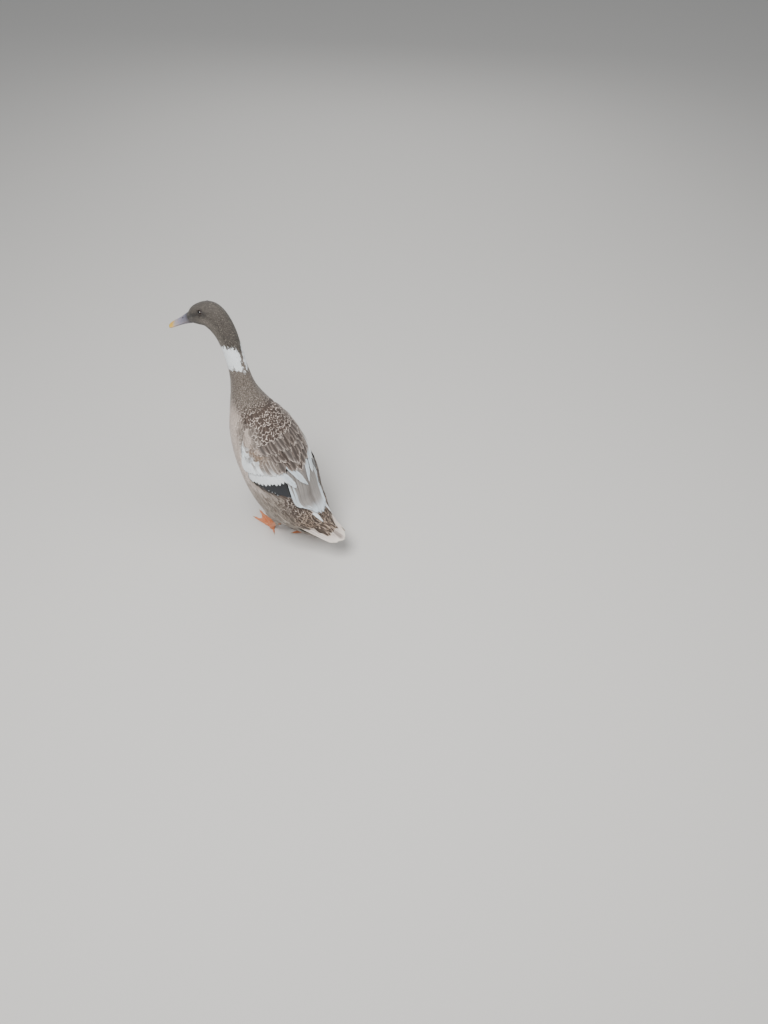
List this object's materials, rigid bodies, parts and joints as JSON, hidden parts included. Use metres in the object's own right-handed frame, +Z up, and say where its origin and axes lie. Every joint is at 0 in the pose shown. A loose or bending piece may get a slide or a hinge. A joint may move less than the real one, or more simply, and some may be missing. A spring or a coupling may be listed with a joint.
{
  "type": "indian runner duck",
  "caption": "Life-size indian runner duck standing in mid step, upright body, long neck, head turned a little to its left.",
  "frame": {"origin": "middle of the bounding box's floor side, on the floor under the duck", "axes": "+Z up from the floor, the duck faces -Y and its left side is +X"},
  "size_m": [0.1718, 0.4202, 0.6327],
  "materials": {
    "plumage_head": "short dark grey-brown feathers with fine pale flecks",
    "plumage_neck": "short feathers, a white patch over grey-brown streaks",
    "plumage_body": "soft layered feathers, fawn to dark brown with pale fringes",
    "plumage_wing": "firm flight feathers, grey-brown, white and blue-black",
    "plumage_tail": "firm pale-edged tail feathers",
    "bill_horn": "satin lilac-grey skin over horn, yellow towards the nail",
    "nail_horn": "satin pale yellow horn",
    "eye_glass": "wet dark brown eye",
    "leg_skin": "matt scaly orange skin"
  },
  "bodies": {
    "root": {"torso": "plumage_body", "thigh_left": "plumage_body", "thigh_right": "plumage_body", "neck_lower": "plumage_neck", "neck_upper": "plumage_neck", "head": "plumage_head", "wing_left": "plumage_wing", "wing_right": "plumage_wing", "tail": "plumage_tail", "bill_upper": "bill_horn", "bill_lower": "bill_horn", "bill_nail": "nail_horn", "eye_left": "eye_glass", "eye_right": "eye_glass", "shank_left": "leg_skin", "shank_right": "leg_skin", "foot_left": "leg_skin", "foot_right": "leg_skin"}
  },
  "joints": []
}
